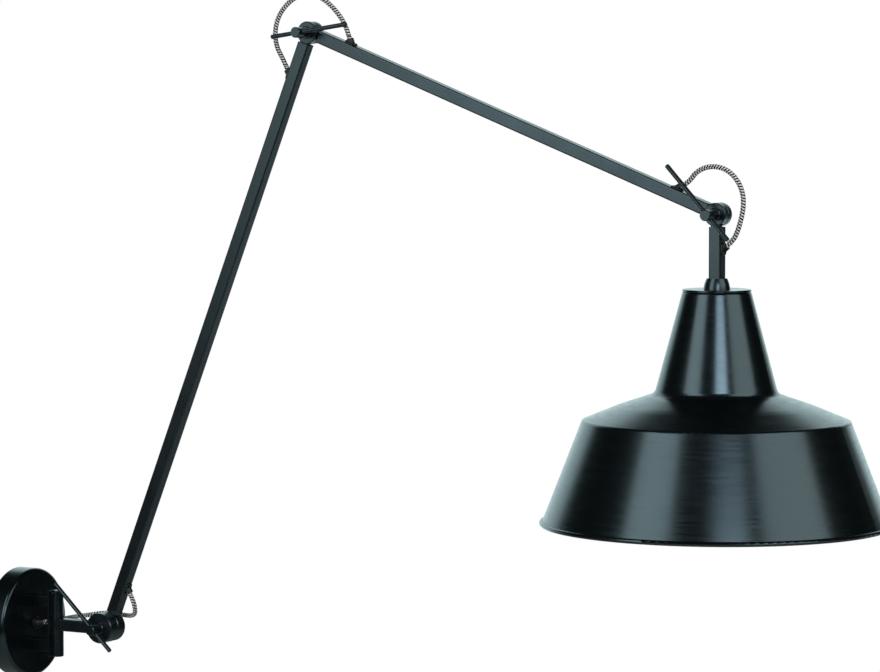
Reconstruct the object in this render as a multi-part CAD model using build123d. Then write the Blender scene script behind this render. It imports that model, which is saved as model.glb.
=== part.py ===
"""Articulating wall lamp: a wall cup with a hinge bracket, two square-tube arms with friction
joints clamped by sliding tee-bar screws, and a spun steel shade hung from a short stem.

Frame: millimetres, +Z up, +X straight out from the wall, origin on the wall at the middle of
the wall cup. Both arms and the shade stem lie in planes parallel to X-Z.
"""
from build123d import *
import os
from math import cos, pi, radians, sin, sqrt, tan

# ---------------------------------------------------------------- driving dimensions
# Wall cup and what it hides
cup_radius = 63.5
cup_depth = 25.0
cup_wall = 1.5
cup_edge_radius = 4.0
strap_width = 20.0
strap_thickness = 2.0
strap_ear_depth = 17.0
strap_side_gap = 0.5
wall_slot_spacing = 60.0
wall_slot_length = 12.0
wall_slot_width = 5.0
side_screw_radius = 2.0
side_screw_head_radius = 3.6
side_screw_head_height = 2.4
side_screw_length = 10.0
side_screw_depth = 12.0
backing_width = 30.0
backing_height = 76.0
backing_thickness = 3.0
terminal_width = 26.0
terminal_height = 17.0
terminal_depth = 12.0
terminal_poles = 3
terminal_pitch = 8.0
terminal_wire_radius = 1.6
terminal_screw_radius = 1.5
terminal_screw_head_radius = 2.1
terminal_screw_length = 4.0

# Hinge bracket and swivel
leg_spacing = 51.0
leg_height = 14.0
leg_width = 10.0
leg_reach = 20.5
spine_thickness = 3.0
spine_height = 78.0
swivel_gap = 1.0
knuckle_radius = 7.0
knuckle_top = 37.0
knuckle_bottom = -38.0
moving_knuckle_top = 11.7
moving_knuckle_bottom = -9.0
knuckle_round = 1.5
knuckle_web_width = 6.0
swivel_pin_radius = 4.0
swivel_pin_head_radius = 5.5
swivel_pin_head_height = 3.0
swivel_pin_end = -33.0
set_screw_radius = 2.0
set_screw_angle = -58.0
set_screw_below_top = 5.0
bracket_screw_radius = 2.5
bracket_screw_length = 20.0
bracket_screw_head_radius = 4.4
bracket_screw_head_height = 2.8

# Square tube used for the arms and the stem
tube_side = 14.0
tube_wall = 1.5
tube_corner = 1.6
tube_start_gap = 0.5

# Friction joints
shoulder_reach = 119.0
drum_radius = 17.5
drum_thickness = 14.7
disc_radius = 12.5
disc_thickness = 8.7
disc_chamfer = 0.9
friction_washer = 0.6
friction_washer_margin = 0.8
stud_radius = 4.0
nut_width = 13.0
nut_thickness = 5.0
spigot_length = 20.0
spigot_corner = 0.9
shoulder_hub_reach = 19.0
hub_reach = 25.0
hub_head_radius = 6.0
hub_head_length = 14.0
hub_neck_radius = 4.8
hub_foot_radius = 7.0
hub_foot_thickness = 2.0
hub_chamfer = 0.8
hub_hole_from_end = 7.0
tee_bar_radius = 2.5
tee_bar_length = 106.0
tee_bar_chamfer = 0.6

# Pose in the photograph: angles are elevations above +X, slides run along the bar
lower_arm_length = 740.0
lower_arm_angle = 68.3
upper_arm_length = 538.0
upper_arm_angle = -21.2
stem_angle = -90.0
shoulder_tee_angle = 136.0
shoulder_tee_slide = 19.5
elbow_tee_angle = 8.0
elbow_tee_slide = 14.0
head_tee_angle = 132.5
head_tee_slide = 17.5

# Flexible cable and its grommets
cable_radius = 2.7
grommet_length = 13.0
grommet_width = 11.0
grommet_flange = 1.6
grommet_snout_radius = 4.4
grommet_snout_length = 9.0
grommet_throat_radius = 3.6
grommet_throat_depth = 2.2
grommet_tilt = 40.0
grommet_from_shoulder = 52.0
grommet_from_elbow = 52.5
grommet_from_head = 55.0
grommet_on_stem = 36.5
cable_inner_bend = 11.0
gland_flange_radius = 7.0
gland_flange_thickness = 2.5
gland_stub_radius = 5.0
gland_stub_length = 11.0
gland_tail_radius = 4.5
gland_tail_length = 9.0
gland_tilt = 45.0
gland_bend_offset = 2.0
gland_cable_bend = 8.0
gland_nut_width = 14.0
gland_nut_thickness = 2.4

# Stem foot, cap and shade
stem_length = 67.5
foot_top_radius = 9.9
foot_bottom_radius = 13.2
foot_height = 11.5
foot_bulge = 1.2
foot_spigot_length = 12.0
cap_radius = 36.6
cap_thickness = 3.0
cap_edge_round = 1.2
shade_wall = 1.0
shade_top_radius = 36.6
shade_neck_radius = 65.4
shade_neck_height = 107.5
shade_shoulder_radius = 142.5
shade_shoulder_height = 28.9
shade_shoulder_crown = 1.3
shade_rim_radius = 185.0
shade_skirt_height = 109.6
shade_top_round = 2.0
shade_neck_round = 9.0
shade_crown_round = 150.0
shade_edge_round = 4.0
shade_bead_radius = 2.6

# Lampholder for a screw-base lamp
nipple_radius = 5.0
nipple_bore = 3.2
nipple_above_cap = 9.0
nipple_below_shade = 14.0
nipple_nut_width = 16.0
nipple_nut_thickness = 4.0
holder_gap = 5.0
holder_radius = 21.0
holder_wall = 2.2
holder_dome_height = 20.0
holder_dome_top_radius = 11.0
holder_body_height = 34.0
holder_skirt_radius = 23.0
holder_skirt_height = 9.0
insert_thickness = 9.0
shell_inner_radius = 13.3
shell_wall = 0.6
shell_height = 20.0
shell_flange_radius = 15.5
contact_radius = 4.0
contact_thickness = 1.2
contact_pocket_radius = 13.6
contact_pocket_depth = 2.5

# Fits
bolt_clearance = 0.25
thread_clearance = 0.05
slide_clearance = 0.08
spigot_clearance = 0.05
cable_clearance = 0.15
running_gap = 0.3

# ---------------------------------------------------------------- places worked out from them
cup_face = cup_depth
arm_y = drum_thickness + friction_washer
front_face_y = arm_y - tube_side / 2
disc_split_y = front_face_y + disc_thickness
rear_disc_y = disc_split_y + friction_washer
rear_face_y = rear_disc_y + disc_thickness
upper_arm_y = rear_face_y - tube_side / 2
tube_inner = tube_side - 2 * tube_wall
spine_x = cup_face + leg_reach
swivel_x = spine_x + spine_thickness + swivel_gap + knuckle_radius
tube_start_drum = drum_radius + tube_start_gap
tube_start_disc = disc_radius + tube_start_gap


def polar(length, angle):
    """Offset in the X-Z plane of a length laid at an elevation angle."""
    return Vector(length * cos(radians(angle)), 0, length * sin(radians(angle)))


shoulder = Vector(shoulder_reach, 0, 0)
elbow = shoulder + polar(lower_arm_length, lower_arm_angle)
head_joint = elbow + polar(upper_arm_length, upper_arm_angle)
shade_axis = Vector(head_joint.X, arm_y, 0)
foot_top_z = head_joint.Z - stem_length
cap_top_z = foot_top_z - foot_height
shade_top_z = cap_top_z - cap_thickness
neck_z = shade_top_z - shade_neck_height
shoulder_edge_z = neck_z - shade_shoulder_height
rim_z = shoulder_edge_z - shade_skirt_height


# ---------------------------------------------------------------- small helpers
def block(x0, x1, y0, y1, z0, z1):
    """Rectangular block between two corners."""
    size = Box(x1 - x0, y1 - y0, z1 - z0, align=(Align.MIN, Align.MIN, Align.MIN))
    return Pos(x0, y0, z0) * size


def rod_x(radius, x0, x1, y=0.0, z=0.0):
    """Round bar along X."""
    bar = Cylinder(radius, x1 - x0, align=(Align.CENTER, Align.CENTER, Align.MIN))
    return Pos(x0, y, z) * Rot(0, 90, 0) * bar


def rod_y(radius, y0, y1, x=0.0, z=0.0):
    """Round bar along Y."""
    bar = Cylinder(radius, y1 - y0, align=(Align.CENTER, Align.CENTER, Align.MIN))
    return Pos(x, y0, z) * Rot(-90, 0, 0) * bar


def rod_z(radius, z0, z1, x=0.0, y=0.0):
    """Round bar along Z."""
    bar = Cylinder(radius, z1 - z0, align=(Align.CENTER, Align.CENTER, Align.MIN))
    return Pos(x, y, z0) * bar


def rims(part, axis):
    """The two outermost sets of circular edges of a part along an axis."""
    groups = part.edges().filter_by(GeomType.CIRCLE).group_by(axis)
    return groups[0] + groups[-1]


def hexagon(width, height):
    """Hexagonal prism standing on Z = 0, measured across its flats."""
    return extrude(RegularPolygon(width / 2, 6, major_radius=False), height)


def at_joint(joint, angle, part):
    """Swing a part drawn along local +X up to an elevation angle, at a joint."""
    return Pos(joint.X, 0, joint.Z) * Rot(0, -angle, 0) * part


def point_at(joint, angle, x, y, z):
    """World place of a point given in the local frame of at_joint."""
    turned = Vector(x, y, z).rotate(Axis.Y, -angle)
    return Vector(joint.X, 0, joint.Z) + turned


# ---------------------------------------------------------------- cable
def cable_tube(name, points, bend=None):
    """Round cable along straight runs joined by tangent arcs."""
    points = [Vector(*p) if isinstance(p, tuple) else p for p in points]
    radii = []
    for before, corner, after in zip(points, points[1:], points[2:]):
        run_in = corner - before
        run_out = after - corner
        turn = radians(run_in.get_angle(run_out))
        shorter = min(run_in.length, run_out.length)
        largest = 0.45 * shorter / tan(turn / 2)
        radii.append(min(bend, largest) if bend else largest)
    path = FilletPolyline(*points, radius=radii)
    start = Plane(origin=points[0], z_dir=points[1] - points[0])
    tube = sweep(start * Circle(cable_radius), path=path)
    section = pi * cable_radius**2
    share = tube.volume / (section * path.length)
    smallest = min(radii)
    print(f"{name}: length {path.length:.1f}, smallest radius {smallest:.1f}, volume share {share:.4f}")
    print("   radii", [round(r, 1) for r in radii])
    return tube


# ---------------------------------------------------------------- wall cup and its inside
def wall_cup():
    """Pressed steel cup that hides the wall box, open towards the wall."""
    outer = rod_x(cup_radius, 0, cup_depth)
    outer = fillet(outer.edges().filter_by(GeomType.CIRCLE).group_by(Axis.X)[-1], cup_edge_radius)
    inner = rod_x(cup_radius - cup_wall, 0, cup_depth - cup_wall)
    inner = fillet(
        inner.edges().filter_by(GeomType.CIRCLE).group_by(Axis.X)[-1], cup_edge_radius - cup_wall
    )
    cup = outer - inner
    cup -= rod_x(gland_tail_radius + bolt_clearance, 0, cup_depth)
    for side in (-1, 1):
        cup -= rod_x(
            bracket_screw_radius + bolt_clearance, 0, cup_depth, z=side * leg_spacing / 2
        )
        hole = rod_y(side_screw_radius + bolt_clearance, 0, cup_radius, x=side_screw_depth)
        cup -= hole if side > 0 else Rot(0, 0, 180) * Pos(-2 * side_screw_depth, 0, 0) * hole
    return cup


def mounting_strap():
    """Steel strap screwed to the wall; its bent ears take the cup's side screws."""
    width = strap_width / 2
    half = sqrt((cup_radius - cup_wall - strap_side_gap) ** 2 - width**2)
    strap = block(0, strap_thickness, -half, half, -width, width)
    for side in (-1, 1):
        inner, outer = sorted((side * (half - strap_thickness), side * half))
        strap += block(0, strap_ear_depth, inner, outer, -width, width)
        slot = extrude(
            SlotOverall(wall_slot_length, wall_slot_width, rotation=0), strap_thickness
        )
        strap -= Pos(0, side * wall_slot_spacing / 2, 0) * Rot(0, 90, 0) * Rot(0, 0, 90) * slot
    threads = rod_y(side_screw_radius + thread_clearance, -half, half, x=side_screw_depth)
    return strap - threads


def side_screws():
    """Two small pan-head screws that hold the cup on the strap's ears."""
    head = rod_y(side_screw_head_radius, cup_radius, cup_radius + side_screw_head_height)
    head = fillet(
        head.edges().filter_by(GeomType.CIRCLE).group_by(Axis.Y)[-1], side_screw_head_height / 2
    )
    shank = rod_y(side_screw_radius, cup_radius - side_screw_length, cup_radius)
    top = cup_radius + side_screw_head_height
    slot = block(-0.5, 0.5, top - 1.0, top, -side_screw_head_radius, side_screw_head_radius)
    screw = head + shank - slot
    right = Pos(side_screw_depth, 0, 0) * screw
    left = Pos(side_screw_depth, 0, 0) * Rot(0, 0, 180) * screw
    return Compound([right, left])


def backing_plate():
    """Stiffening plate inside the cup, behind the bracket."""
    back = cup_face - cup_wall
    front = back - backing_thickness
    half_width = backing_width / 2
    half_height = backing_height / 2
    plate = block(front, back, -half_width, half_width, -half_height, half_height)
    plate = fillet(plate.edges().filter_by(Axis.X), 4.0)
    plate -= rod_x(gland_nut_width * 0.62, front, back)
    for side in (-1, 1):
        plate -= rod_x(bracket_screw_radius + bolt_clearance, front, back, z=side * leg_spacing / 2)
    return plate


def bracket_screws():
    """Two screws from inside the cup into the bracket's legs."""
    seat = cup_face - cup_wall - backing_thickness
    screws = []
    for side in (-1, 1):
        z = side * leg_spacing / 2
        head = rod_x(bracket_screw_head_radius, seat - bracket_screw_head_height, seat, z=z)
        head = chamfer(head.edges().filter_by(GeomType.CIRCLE).group_by(Axis.X)[0], 0.8)
        socket = Pos(seat - bracket_screw_head_height, 0, z) * Rot(0, 90, 0) * hexagon(4.0, 1.6)
        shank = rod_x(bracket_screw_radius, seat, seat + bracket_screw_length, z=z)
        screws.append(head + shank - socket)
    return Compound(screws)


def terminal_block():
    """Plastic terminal block on the strap, with a cable entry on its front."""
    width = terminal_width / 2
    height = terminal_height / 2
    front = strap_thickness + terminal_depth
    body = block(strap_thickness, front, -width, width, -height, height)
    body = chamfer(body.edges().group_by(Axis.X)[-1], 1.0)
    body -= rod_x(cable_radius + cable_clearance, front - 3.0, front)
    middle = strap_thickness + terminal_depth / 3
    for pole in range(terminal_poles):
        y = (pole - (terminal_poles - 1) / 2) * terminal_pitch
        body -= rod_z(terminal_wire_radius, -height, height, x=middle, y=y)
        for side in (-1, 1):
            pit = rod_x(
                terminal_screw_head_radius + bolt_clearance,
                middle,
                front,
                y=y,
                z=side * terminal_height * 0.36,
            )
            body -= pit
    return body


def terminal_screws():
    """Six wire-clamping screws, two for each pole."""
    middle = strap_thickness + terminal_depth / 3
    screws = []
    for pole in range(terminal_poles):
        y = (pole - (terminal_poles - 1) / 2) * terminal_pitch
        for side in (-1, 1):
            z = side * terminal_height * 0.36
            screw = rod_x(terminal_screw_head_radius, middle, middle + terminal_screw_length, y, z)
            slot_top = middle + terminal_screw_length
            slot = block(slot_top - 0.8, slot_top, y - 0.3, y + 0.3, z - 3, z + 3)
            screws.append(screw - slot)
    return Compound(screws)


def gland_bend():
    """Where the gland's bore turns from square to the cup to its sideways slant."""
    return Vector(cup_face + gland_bend_offset, 0, 0)


def gland_direction():
    """Direction in which the cable leaves the wall gland."""
    return Vector(cos(radians(gland_tilt)), sin(radians(gland_tilt)), 0)


def gland_mouth(extra=0.0):
    """Where the cable leaves the wall gland, or a point further out along its slant."""
    return gland_bend() + gland_direction() * (gland_stub_length + extra)


def slanted(radius, length):
    """Round bar from the gland's bend out along its slant."""
    bar = Cylinder(radius, length, align=(Align.CENTER, Align.CENTER, Align.MIN))
    start = gland_bend()
    return Pos(start.X, start.Y, start.Z) * Rot(0, 0, gland_tilt) * Rot(0, 90, 0) * bar


def wall_gland():
    """Hooded cable gland in the middle of the cup's face."""
    bend = gland_bend()
    flange = rod_x(gland_flange_radius, cup_face, cup_face + gland_flange_thickness)
    flange = fillet(flange.edges().filter_by(GeomType.CIRCLE).group_by(Axis.X)[-1], 1.0)
    hood = slanted(gland_stub_radius, gland_stub_length)
    hood = fillet(hood.edges().filter_by(GeomType.CIRCLE).sort_by(Axis.X)[-1], 1.2)
    hood += Pos(bend.X, bend.Y, bend.Z) * Sphere(gland_stub_radius)
    reach = gland_flange_radius + gland_stub_radius
    hood -= block(0, cup_face, -reach, reach, -reach, reach)
    tail = rod_x(gland_tail_radius, cup_face - gland_tail_length, cup_face)
    start = gland_mouth(extra=gland_flange_radius)
    path = FilletPolyline(start, bend, Vector(0, 0, 0), radius=gland_cable_bend)
    across = Plane(origin=start, z_dir=gland_direction())
    bore = sweep(across * Circle(cable_radius + cable_clearance), path=path)
    return flange + hood + tail - bore


def gland_nut():
    """Hexagonal nut on the gland's tail, inside the cup."""
    seat = cup_face - cup_wall
    nut = Pos(seat - gland_nut_thickness, 0, 0) * Rot(0, 90, 0) * hexagon(
        gland_nut_width, gland_nut_thickness
    )
    return nut - rod_x(gland_tail_radius + thread_clearance, 0, cup_face)


# ---------------------------------------------------------------- bracket and swivel
def knuckle(z0, z1):
    """One round knuckle of the swivel hinge."""
    return rod_z(knuckle_radius, z0, z1, x=swivel_x)


def wall_bracket():
    """C-shaped bracket: two legs on the cup, a spine, and the two fixed knuckles."""
    half_leg = leg_width / 2
    spine_back = spine_x + spine_thickness
    bracket = block(spine_x, spine_back, -half_leg, half_leg, -spine_height / 2, spine_height / 2)
    for side in (-1, 1):
        z = side * leg_spacing / 2
        leg = block(cup_face, spine_x, -half_leg, half_leg, z - leg_height / 2, z + leg_height / 2)
        bracket += leg
    bracket = fillet(bracket.edges().filter_by(Axis.X), 1.0)
    lower_z1 = moving_knuckle_bottom - friction_washer
    upper_z0 = moving_knuckle_top + friction_washer
    lower = knuckle(knuckle_bottom, lower_z1)
    lower = fillet(lower.edges().filter_by(GeomType.CIRCLE).group_by(Axis.Z)[0], knuckle_round)
    upper = knuckle(upper_z0, knuckle_top)
    web = knuckle_web_width / 2
    lower += block(spine_back, swivel_x, -web, web, knuckle_bottom + knuckle_round, lower_z1)
    upper += block(spine_back, swivel_x, -web, web, upper_z0, knuckle_top)
    bracket += lower + upper
    bore = swivel_pin_radius + slide_clearance
    bracket -= rod_z(bore, swivel_pin_end, knuckle_top, x=swivel_x)
    for side in (-1, 1):
        thread = rod_x(
            bracket_screw_radius + thread_clearance,
            cup_face,
            spine_back,
            z=side * leg_spacing / 2,
        )
        bracket -= thread
    return bracket


def swivel_pin():
    """Hinge pin with a low button head, dropped in from above."""
    shaft = rod_z(swivel_pin_radius, swivel_pin_end, knuckle_top, x=swivel_x)
    head = rod_z(
        swivel_pin_head_radius, knuckle_top, knuckle_top + swivel_pin_head_height, x=swivel_x
    )
    head = fillet(head.edges().filter_by(GeomType.CIRCLE).group_by(Axis.Z)[-1], 1.6)
    return shaft + head


def swivel_washers():
    """Two thin washers between the moving knuckle and the fixed ones."""
    washers = []
    for z in (moving_knuckle_top, moving_knuckle_bottom - friction_washer):
        ring = rod_z(knuckle_radius, z, z + friction_washer, x=swivel_x)
        ring -= rod_z(swivel_pin_radius + slide_clearance, z, z + friction_washer, x=swivel_x)
        washers.append(ring)
    return Compound(washers)


def set_screw_axis(length, radius):
    """Round bar from the swivel axis outward along the set screw."""
    bar = Cylinder(radius, length, align=(Align.CENTER, Align.CENTER, Align.MIN))
    z = moving_knuckle_top - set_screw_below_top
    return Pos(swivel_x, 0, z) * Rot(0, 0, set_screw_angle) * Rot(0, 90, 0) * bar


def swivel_arm():
    """Moving knuckle, short square arm and the front friction drum, welded into one."""
    half = tube_side / 2
    bar = block(swivel_x, shoulder_reach, -half, half, -half, half)
    bar = fillet(bar.edges().filter_by(Axis.X), tube_corner)
    drum = rod_y(drum_radius, -drum_thickness / 2, drum_thickness / 2, x=shoulder_reach)
    drum = chamfer(rims(drum, Axis.Y), disc_chamfer)
    arm = bar + drum + knuckle(moving_knuckle_bottom, moving_knuckle_top)
    bore = swivel_pin_radius + slide_clearance
    arm -= rod_z(bore, moving_knuckle_bottom, moving_knuckle_top, x=swivel_x)
    arm -= rod_y(
        stud_radius + bolt_clearance, -drum_thickness / 2, drum_thickness / 2, x=shoulder_reach
    )
    arm -= set_screw_axis(knuckle_radius + 3, set_screw_radius + thread_clearance)
    return arm


def swivel_set_screw():
    """Grub screw in the moving knuckle, just clear of the hinge pin."""
    screw = set_screw_axis(knuckle_radius - 0.3, set_screw_radius)
    socket = set_screw_axis(knuckle_radius + 3, 1.0) - set_screw_axis(knuckle_radius - 1.8, 1.1)
    screw -= socket
    return screw - rod_z(swivel_pin_radius + slide_clearance, -50, 50, x=swivel_x)


# ---------------------------------------------------------------- tube arms
def square_tube(x0, x1, y):
    """Square tube along local X, centred on y."""
    outer = Pos(x0, y, 0) * Rot(0, 90, 0) * extrude(
        RectangleRounded(tube_side, tube_side, tube_corner), x1 - x0
    )
    inner = Pos(x0, y, 0) * Rot(0, 90, 0) * extrude(
        RectangleRounded(tube_inner, tube_inner, tube_corner - tube_wall + 0.4), x1 - x0
    )
    return outer - inner


def joint_plate(radius, y0, y1, spigot_y):
    """Round joint plate with a square spigot that fills the end of a tube."""
    plate = rod_y(radius, y0, y1)
    plate = chamfer(rims(plate, Axis.Y), disc_chamfer)
    half = tube_inner / 2 - spigot_clearance
    low = max(y0, spigot_y - half)
    high = min(y1, spigot_y + half)
    neck = block(0, radius + tube_start_gap + spigot_length, low, high, -half, half)
    neck = fillet(neck.edges().filter_by(Axis.X), spigot_corner)
    neck = chamfer(neck.faces().sort_by(Axis.X)[-1].edges(), 0.6)
    return plate + neck


def nut_pocket(y_back):
    """Hexagonal pocket and bore for a clamp nut, sunk into a plate's back face."""
    pocket = Pos(0, y_back - nut_thickness, 0) * Rot(-90, 0, 0) * hexagon(
        nut_width + 2 * spigot_clearance, nut_thickness
    )
    return pocket + rod_y(stud_radius + bolt_clearance, -100, y_back)


def clamp_nut(y_back):
    """Hexagonal nut sunk flush into the rear plate of a joint."""
    nut = Pos(0, y_back - nut_thickness, 0) * Rot(-90, 0, 0) * hexagon(nut_width, nut_thickness)
    return nut - rod_y(stud_radius + thread_clearance, -100, y_back)


def friction_ring(radius, y0):
    """Friction washer between the two plates of a joint."""
    ring = rod_y(radius - friction_washer_margin, y0, y0 + friction_washer)
    return ring - rod_y(stud_radius + bolt_clearance, y0, y0 + friction_washer)


def tee_screw(face_y, reach, stud_end_y):
    """Clamp screw: drilled round head, neck and foot outside the plate, stud through it."""
    end = face_y - reach
    head = rod_y(hub_head_radius, end, end + hub_head_length)
    head = chamfer(rims(head, Axis.Y), hub_chamfer)
    neck = rod_y(hub_neck_radius, end + hub_head_length, face_y - hub_foot_thickness)
    foot = rod_y(hub_foot_radius, face_y - hub_foot_thickness, face_y)
    foot = chamfer(foot.edges().filter_by(GeomType.CIRCLE).group_by(Axis.Y)[0], hub_chamfer)
    stud = rod_y(stud_radius, face_y, stud_end_y)
    stud = chamfer(stud.edges().filter_by(GeomType.CIRCLE).group_by(Axis.Y)[-1], 0.5)
    screw = head + neck + foot + stud
    cross = rod_x(tee_bar_radius + slide_clearance, -20, 20, y=end + hub_hole_from_end)
    return screw - cross


def tee_bar(face_y, reach, slide):
    """Plain round bar through the head of a clamp screw, slid off centre."""
    y = face_y - reach + hub_hole_from_end
    half = tee_bar_length / 2
    bar = rod_x(tee_bar_radius, slide - half, slide + half, y=y)
    return chamfer(rims(bar, Axis.X), tee_bar_chamfer)


# ---------------------------------------------------------------- grommets
def grommet_bar(radius, low, high):
    """Round bar along the grommet's slant, from below to above the tube's face."""
    bar = Cylinder(radius, high - low, align=(Align.CENTER, Align.CENTER, Align.MIN))
    return Rot(0, grommet_tilt, 0) * Pos(0, 0, low) * bar


def grommet():
    """Hooded cable grommet on a face at Z = 0, leaning towards +X."""
    flange = extrude(RectangleRounded(grommet_length, grommet_width, 3.0), grommet_flange)
    flange = chamfer(flange.faces().sort_by(Axis.Z)[-1].edges(), 0.5)
    snout = grommet_bar(grommet_snout_radius, 0, grommet_snout_length)
    snout = fillet(snout.edges().filter_by(GeomType.CIRCLE).sort_by(Axis.Z)[-1], 1.0)
    below = block(-20, 20, -20, 20, -20, 0)
    throat = grommet_bar(grommet_throat_radius, -20, 0.5) & block(
        -20, 20, -20, 20, -grommet_throat_depth, 0.5
    )
    body = flange + (snout - below) + throat
    return body - grommet_bar(cable_radius + cable_clearance, -20, 20)


def grommet_hole():
    """Slanted hole that the grommet's throat passes through."""
    return grommet_bar(grommet_throat_radius + slide_clearance, -grommet_throat_depth - 3, 5)


def on_face(x, y, side, toward, part):
    """Set a piece drawn on Z = 0 onto a tube's face: side and toward are +1 or -1."""
    half = tube_side / 2
    turned = part if side > 0 else mirror(part, Plane.XY)
    turned = turned if toward > 0 else mirror(turned, Plane.YZ)
    return Pos(x, y, side * half) * turned


def mouth(joint, angle, x, y, side, toward, extra=0.0):
    """World place of a grommet's mouth, or of a point further out along its slant."""
    reach = grommet_snout_length + extra
    out = tube_side / 2 + reach * cos(radians(grommet_tilt))
    along = reach * sin(radians(grommet_tilt))
    return point_at(joint, angle, x + toward * along, y, side * out)


def inner_corner(joint, angle, x, y, toward):
    """Where the slanted cable meets the tube's centre line."""
    deep = tube_side / 2 * tan(radians(grommet_tilt))
    return point_at(joint, angle, x - toward * deep, y, 0)


# ---------------------------------------------------------------- lower arm
lower_grommet_x = grommet_from_shoulder
lower_grommet_far_x = lower_arm_length - grommet_from_elbow


def lower_arm_foot():
    """Rear friction drum with the spigot that carries the lower tube."""
    y0 = drum_thickness / 2 + friction_washer
    y1 = y0 + drum_thickness
    return joint_plate(drum_radius, y0, y1, arm_y) - nut_pocket(y1)


def lower_arm_tube():
    """Long square tube from the shoulder to the elbow."""
    tube = square_tube(tube_start_drum, lower_arm_length - tube_start_disc, arm_y)
    tube -= on_face(lower_grommet_x, arm_y, -1, -1, grommet_hole())
    return tube - on_face(lower_grommet_far_x, arm_y, 1, 1, grommet_hole())


def front_plate():
    """Front plate of an elbow or head joint, flush with the front of its tube."""
    bore = rod_y(stud_radius + bolt_clearance, front_face_y, disc_split_y)
    return joint_plate(disc_radius, front_face_y, disc_split_y, arm_y) - bore


def rear_plate():
    """Rear plate of an elbow or head joint, flush with the back of the upper tube."""
    return joint_plate(disc_radius, rear_disc_y, rear_face_y, upper_arm_y) - nut_pocket(rear_face_y)


# ---------------------------------------------------------------- upper arm
upper_grommet_x = grommet_from_elbow
upper_grommet_far_x = upper_arm_length - grommet_from_head


def upper_arm_tube():
    """Square tube from the elbow to the shade joint."""
    tube = square_tube(tube_start_disc, upper_arm_length - tube_start_disc, upper_arm_y)
    tube -= on_face(upper_grommet_x, upper_arm_y, 1, -1, grommet_hole())
    return tube - on_face(upper_grommet_far_x, upper_arm_y, 1, 1, grommet_hole())


# ---------------------------------------------------------------- stem, shade and lampholder
def stem_tube():
    """Short square tube that hangs the shade from the last joint."""
    tube = square_tube(tube_start_disc, stem_length, arm_y)
    return tube - on_face(grommet_on_stem, arm_y, 1, -1, grommet_hole())


def turned(outline):
    """Solid of revolution about the shade's axis from (radius, z) corners."""
    face = make_face(Polyline(*[(r, 0, z) for r, z in outline], close=True))
    return Pos(shade_axis.X, shade_axis.Y, 0) * revolve(face, Axis.Z)


def stem_foot():
    """Turned collar under the stem, with a spigot up into the tube."""
    bulge = (foot_top_radius + foot_bottom_radius) / 2 + foot_bulge
    middle_z = (foot_top_z + cap_top_z) / 2
    side = ThreePointArc(
        (foot_top_radius, 0, foot_top_z), (bulge, 0, middle_z), (foot_bottom_radius, 0, cap_top_z)
    )
    lid = Polyline((foot_bottom_radius, 0, cap_top_z), (0, 0, cap_top_z), (0, 0, foot_top_z))
    top = Line((0, 0, foot_top_z), (foot_top_radius, 0, foot_top_z))
    foot = revolve(make_face([side, lid, top]), Axis.Z)
    foot = Pos(shade_axis.X, shade_axis.Y, 0) * foot
    half = tube_inner / 2 - spigot_clearance
    x, y = shade_axis.X, shade_axis.Y
    spigot = block(
        x - half, x + half, y - half, y + half, foot_top_z - 1, foot_top_z + foot_spigot_length
    )
    foot += fillet(spigot.edges().filter_by(Axis.Z), spigot_corner)
    foot -= rod_z(cable_radius + cable_clearance, cap_top_z, foot_top_z + foot_spigot_length, x, y)
    return foot - rod_z(
        nipple_radius + thread_clearance, cap_top_z, cap_top_z + nipple_above_cap, x, y
    )


def shade_cap():
    """Round steel cap that closes the top of the shade."""
    cap = rod_z(cap_radius, shade_top_z, cap_top_z, shade_axis.X, shade_axis.Y)
    cap = fillet(rims(cap, Axis.Z), cap_edge_round)
    return cap - rod_z(
        nipple_radius + thread_clearance, shade_top_z, cap_top_z, shade_axis.X, shade_axis.Y
    )


def shade():
    """Spun steel shade: narrow cone, sloping shoulder, flared skirt and rolled rim."""
    crown_radius = (shade_neck_radius + shade_shoulder_radius) / 2
    crown_z = (neck_z + shoulder_edge_z) / 2 + shade_shoulder_crown
    outside = FilletPolyline(
        Vector(nipple_radius + thread_clearance, 0, shade_top_z),
        Vector(shade_top_radius, 0, shade_top_z),
        Vector(shade_neck_radius, 0, neck_z),
        Vector(crown_radius, 0, crown_z),
        Vector(shade_shoulder_radius, 0, shoulder_edge_z),
        Vector(shade_rim_radius, 0, rim_z),
        radius=[shade_top_round, shade_neck_round, shade_crown_round, shade_edge_round],
    )
    profile = make_face(offset(outside, amount=shade_wall, side=Side.RIGHT, closed=True))
    body = revolve(profile, Axis.Z)
    body += Pos(0, 0, rim_z) * Torus(shade_rim_radius, shade_bead_radius)
    return Pos(shade_axis.X, shade_axis.Y, 0) * body


nipple_top_z = cap_top_z + nipple_above_cap
nipple_bottom_z = shade_top_z - nipple_below_shade
under_shade_z = shade_top_z - shade_wall
holder_top_z = under_shade_z - nipple_nut_thickness - holder_gap
dome_bottom_z = holder_top_z - holder_dome_height
insert_bottom_z = dome_bottom_z - insert_thickness
holder_bottom_z = dome_bottom_z - holder_body_height


def nipple():
    """Threaded hollow stud that joins the foot, cap, shade and lampholder."""
    x, y = shade_axis.X, shade_axis.Y
    stud = rod_z(nipple_radius, nipple_bottom_z, nipple_top_z, x, y)
    return stud - rod_z(nipple_bore, nipple_bottom_z, nipple_top_z, x, y)


def nipple_nut():
    """Hexagonal nut under the shade's top."""
    x, y = shade_axis.X, shade_axis.Y
    nut = Pos(x, y, under_shade_z - nipple_nut_thickness) * hexagon(
        nipple_nut_width, nipple_nut_thickness
    )
    return nut - rod_z(nipple_radius + thread_clearance, 0, cap_top_z, x, y)


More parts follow.
